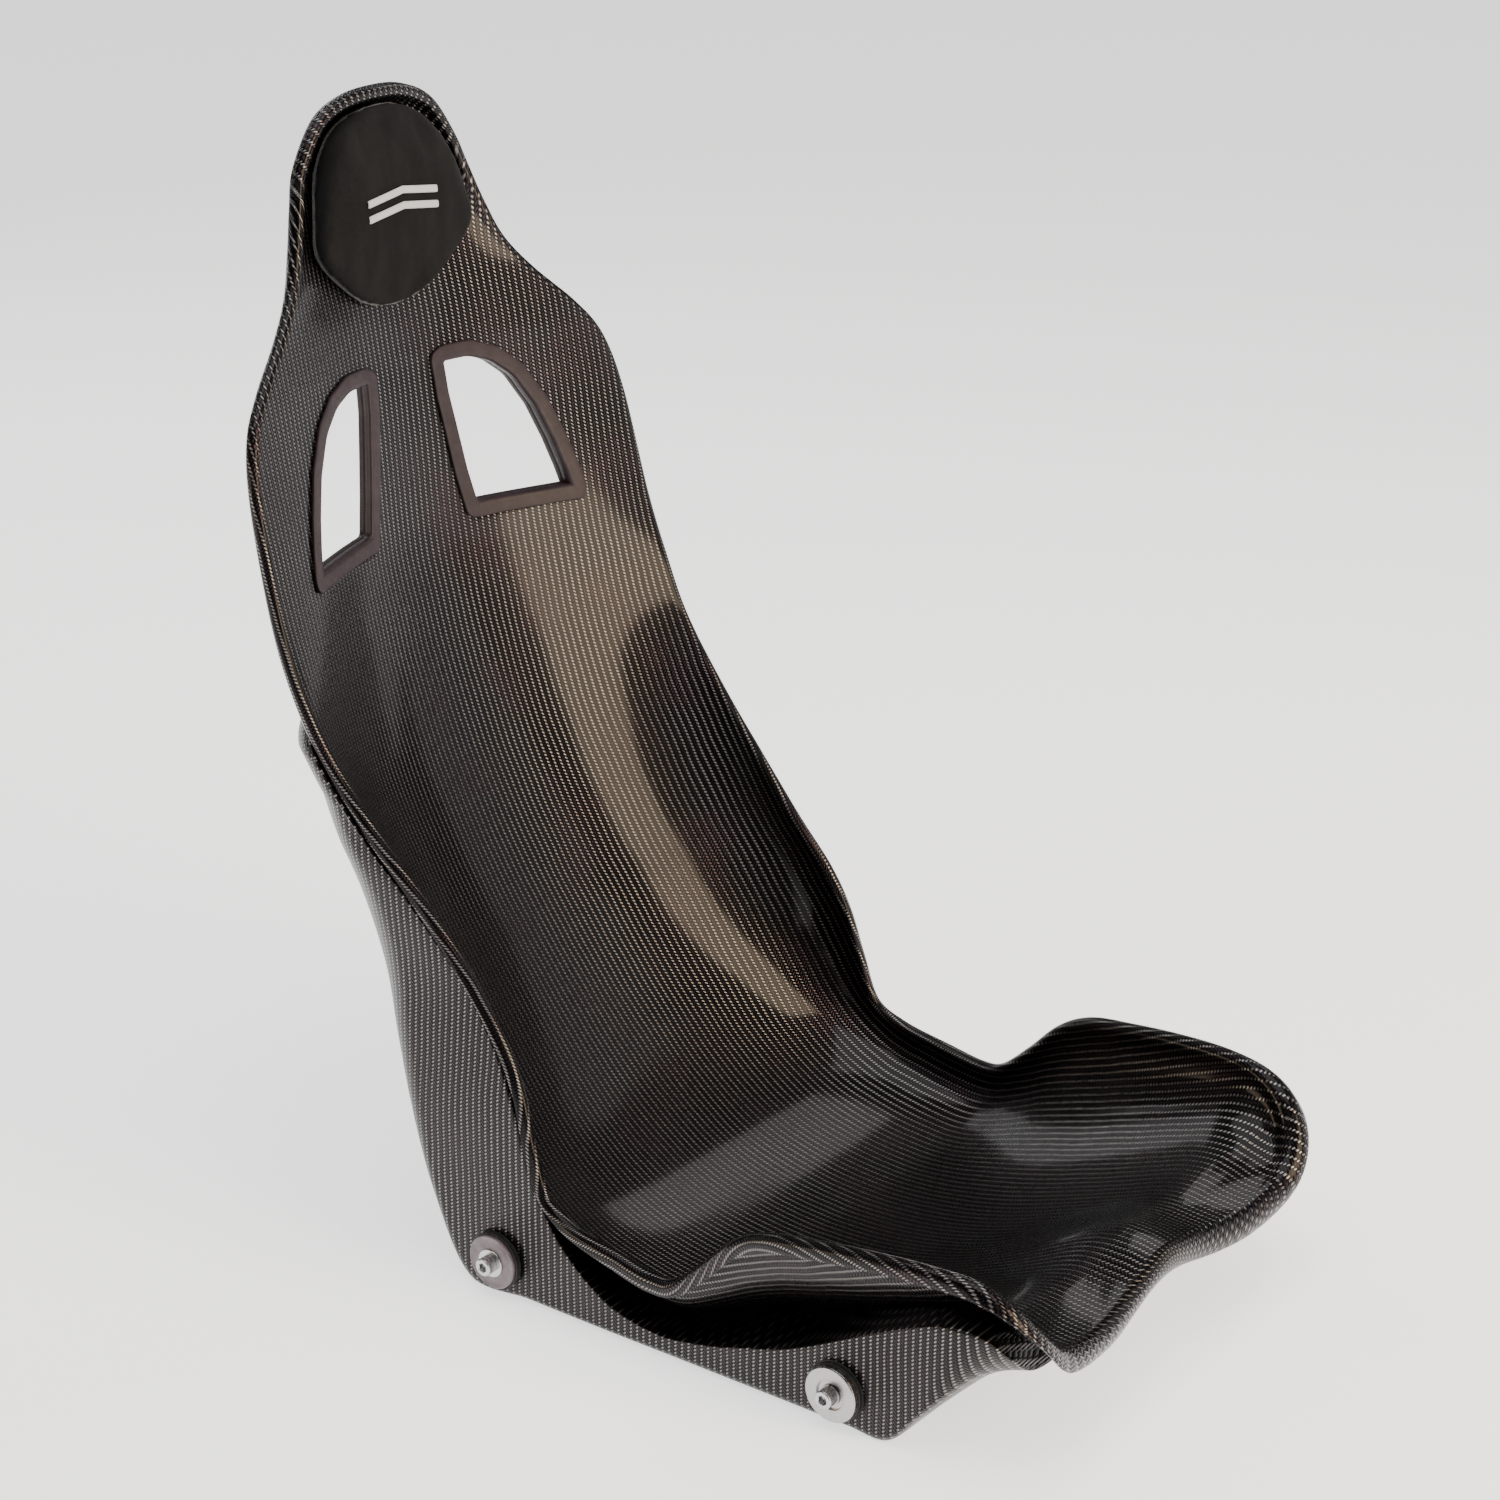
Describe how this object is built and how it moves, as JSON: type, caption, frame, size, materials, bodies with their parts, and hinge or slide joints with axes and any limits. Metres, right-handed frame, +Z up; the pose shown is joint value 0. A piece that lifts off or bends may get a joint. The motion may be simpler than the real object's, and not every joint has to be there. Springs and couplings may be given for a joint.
{
  "type": "racing seat",
  "caption": "One-piece woven carbon bucket racing seat with harness slots, a pull-off head pad and side bolt fittings.",
  "frame": {"origin": "centre of the base between the side panels and midway between the front and rear bolts, on the flat underside", "axes": "+Z up, -Y the way the seated driver faces, +X the driver's left side"},
  "size_m": [0.4366, 0.7227, 0.79],
  "materials": {
    "carbon_face": "glossy clear coat over woven carbon",
    "carbon_back": "glossy clear coat over woven carbon",
    "slot_trim": "satin",
    "hook_tape": "matte",
    "loop_tape": "matte",
    "pad_board": "matte",
    "pad_foam": "matte",
    "pad_suede": "matte suede",
    "pad_mark": "embroidered",
    "insert_metal": "machined",
    "black_rubber": "matte",
    "turned_alloy": "turned",
    "plain_steel": "bright",
    "plum_nylon": "satin",
    "bright_washer": "polished",
    "zinc_screw": "zinc plated"
  },
  "bodies": {
    "seat": {"front_shell": "carbon_face", "rear_shell": "carbon_back", "trim_front_left": "slot_trim", "trim_front_right": "slot_trim", "trim_rear_left": "slot_trim", "trim_rear_right": "slot_trim", "hook_strips": "hook_tape", "inserts": "insert_metal", "seal_washers": "black_rubber", "front_rubbers": "black_rubber", "front_discs": "turned_alloy", "spring_washers": "plain_steel", "rear_rubbers": "black_rubber", "rear_discs": "plum_nylon", "penny_washers": "bright_washer", "front_screws": "zinc_screw", "rear_screws": "zinc_screw"},
    "head_pad": {"loop_strips": "loop_tape", "pad_board": "pad_board", "pad_foam": "pad_foam", "pad_cover": "pad_suede", "pad_badge": "pad_mark"}
  },
  "joints": [
    {"name": "pad_pull", "type": "slide", "parent": "seat", "child": "head_pad", "axis": [0, -1, 0], "range_m": [0, 0.06]}
  ]
}
